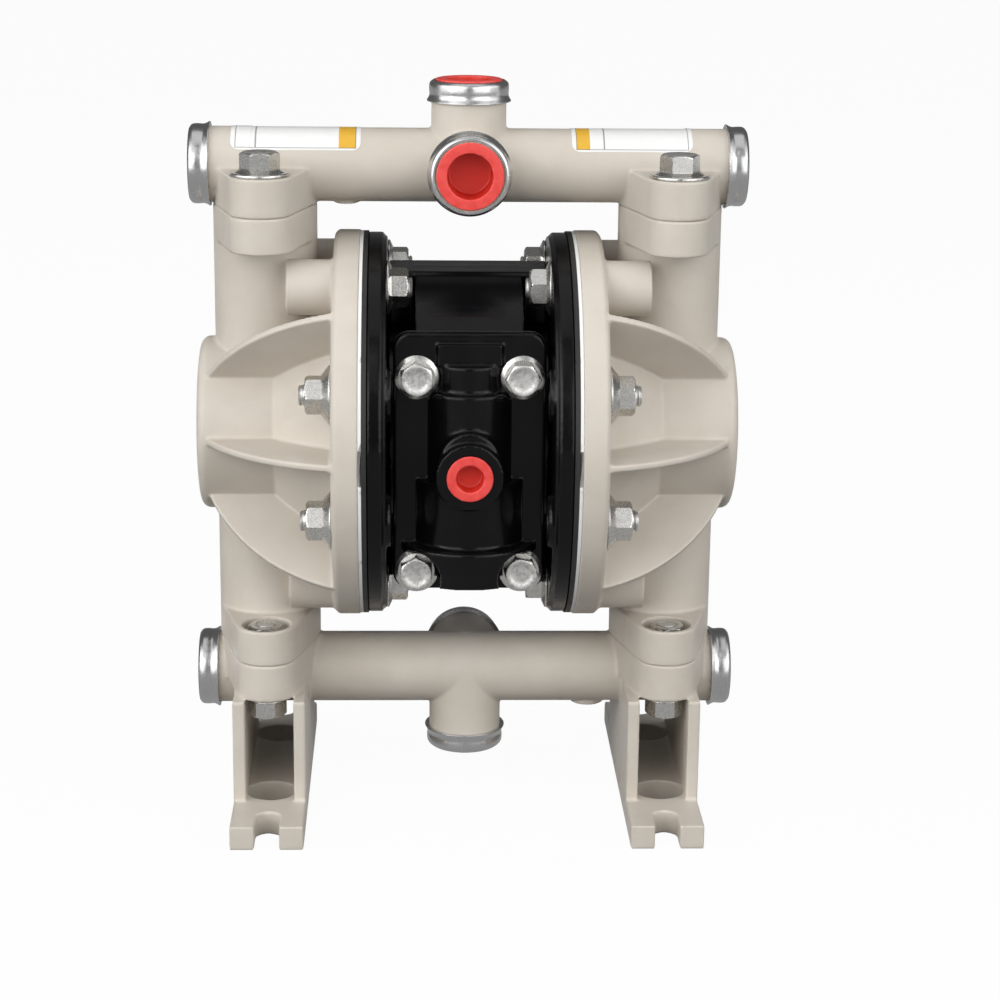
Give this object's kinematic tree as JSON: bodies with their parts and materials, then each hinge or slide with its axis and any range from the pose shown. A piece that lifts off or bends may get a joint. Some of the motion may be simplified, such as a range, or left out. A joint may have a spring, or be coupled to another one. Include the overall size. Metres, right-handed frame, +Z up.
{
  "type": "air operated diaphragm pump",
  "caption": "Twin diaphragm pump with ribbed side caps on upright valve columns, tubular inlet and outlet headers, a black air section between them and slotted feet.",
  "frame": {"origin": "on the floor under the middle of the pump", "axes": "+X along the diaphragm rod towards the pump's right, +Y to the back, away from the air inlet, +Z up"},
  "size_m": [0.2082, 0.1476, 0.2802],
  "materials": {
    "beige_plastic": "satin",
    "black_plastic": "gloss",
    "stainless_band": "satin",
    "steel_fastener": "satin",
    "red_plug": "satin",
    "ptfe": "satin",
    "rubber": "matte",
    "seat_plastic": "satin",
    "plate_plastic": "satin",
    "machined_steel": "satin",
    "valve_sleeve": "satin"
  },
  "bodies": {
    "pump": {"outlet_manifold": "beige_plastic", "inlet_manifold": "beige_plastic", "fluid_cap_left": "beige_plastic", "fluid_cap_right": "beige_plastic", "air_cap_left": "black_plastic", "air_cap_right": "black_plastic", "center_body": "black_plastic", "valve_block": "black_plastic", "exhaust_cover": "black_plastic", "outlet_band_left": "stainless_band", "outlet_band_right": "stainless_band", "outlet_band_top": "stainless_band", "outlet_band_front": "stainless_band", "inlet_band_left": "stainless_band", "inlet_band_right": "stainless_band", "inlet_band_bottom": "stainless_band", "inlet_band_rear": "stainless_band", "cap_screws_left": "steel_fastener", "cap_screws_right": "steel_fastener", "cap_nuts_left": "steel_fastener", "cap_nuts_right": "steel_fastener", "outlet_screws": "steel_fastener", "outlet_washers": "steel_fastener", "outlet_nuts": "steel_fastener", "inlet_screws": "steel_fastener", "inlet_washers": "steel_fastener", "inlet_nuts": "steel_fastener", "valve_block_screws": "steel_fastener", "exhaust_cover_screws": "steel_fastener", "diaphragm_left": "ptfe", "diaphragm_right": "ptfe", "backup_diaphragm_left": "rubber", "backup_diaphragm_right": "rubber", "valve_block_gasket": "rubber", "exhaust_gasket": "rubber", "joint_seals": "rubber", "seat_inlet_left": "seat_plastic", "seat_inlet_right": "seat_plastic", "seat_outlet_left": "seat_plastic", "seat_outlet_right": "seat_plastic", "rod_bushings": "seat_plastic", "valve_sleeve": "valve_sleeve"},
    "rod": {"diaphragm_rod": "machined_steel", "air_plate_left": "machined_steel", "air_plate_right": "machined_steel", "fluid_plate_left": "plate_plastic", "fluid_plate_right": "plate_plastic", "plate_screw_left": "steel_fastener", "plate_screw_right": "steel_fastener"},
    "pilot": {"pilot_rod": "machined_steel"},
    "spool": {"valve_spool": "machined_steel"},
    "ball_inlet_left": {"ball_inlet_left": "ptfe"},
    "ball_inlet_right": {"ball_inlet_right": "ptfe"},
    "ball_outlet_left": {"ball_outlet_left": "ptfe"},
    "ball_outlet_right": {"ball_outlet_right": "ptfe"},
    "top_plug": {"plug_outlet_top": "red_plug"},
    "front_plug": {"plug_outlet_front": "red_plug"},
    "air_plug": {"plug_air_inlet": "red_plug"}
  },
  "joints": [
    {"name": "rod_slide", "type": "slide", "parent": "pump", "child": "rod", "axis": [1, 0, 0], "range_m": [-0.006, 0.006], "deforming": ["diaphragm_left", "diaphragm_right", "backup_diaphragm_left", "backup_diaphragm_right"]},
    {"name": "pilot_slide", "type": "slide", "parent": "pump", "child": "pilot", "axis": [1, 0, 0], "range_m": [-0.0025, 0.0025]},
    {"name": "spool_slide", "type": "slide", "parent": "pump", "child": "spool", "axis": [0, 0, 1], "range_m": [0, 0.009]},
    {"name": "ball_inlet_left_lift", "type": "slide", "parent": "pump", "child": "ball_inlet_left", "axis": [0, 0, 1], "range_m": [0, 0.0035]},
    {"name": "ball_inlet_right_lift", "type": "slide", "parent": "pump", "child": "ball_inlet_right", "axis": [0, 0, 1], "range_m": [0, 0.0035]},
    {"name": "ball_outlet_left_lift", "type": "slide", "parent": "pump", "child": "ball_outlet_left", "axis": [0, 0, 1], "range_m": [0, 0.0035]},
    {"name": "ball_outlet_right_lift", "type": "slide", "parent": "pump", "child": "ball_outlet_right", "axis": [0, 0, 1], "range_m": [0, 0.0035]},
    {"name": "top_plug_pull", "type": "slide", "parent": "pump", "child": "top_plug", "axis": [0, 0, 1], "range_m": [0, 0.025]},
    {"name": "front_plug_pull", "type": "slide", "parent": "pump", "child": "front_plug", "axis": [0, -1, 0], "range_m": [0, 0.025]},
    {"name": "air_plug_pull", "type": "slide", "parent": "pump", "child": "air_plug", "axis": [0, -1, 0], "range_m": [0, 0.015]}
  ],
  "couplings": [
    {"joint": "pilot_slide", "follows": "rod_slide", "ratio": 0.4}
  ]
}
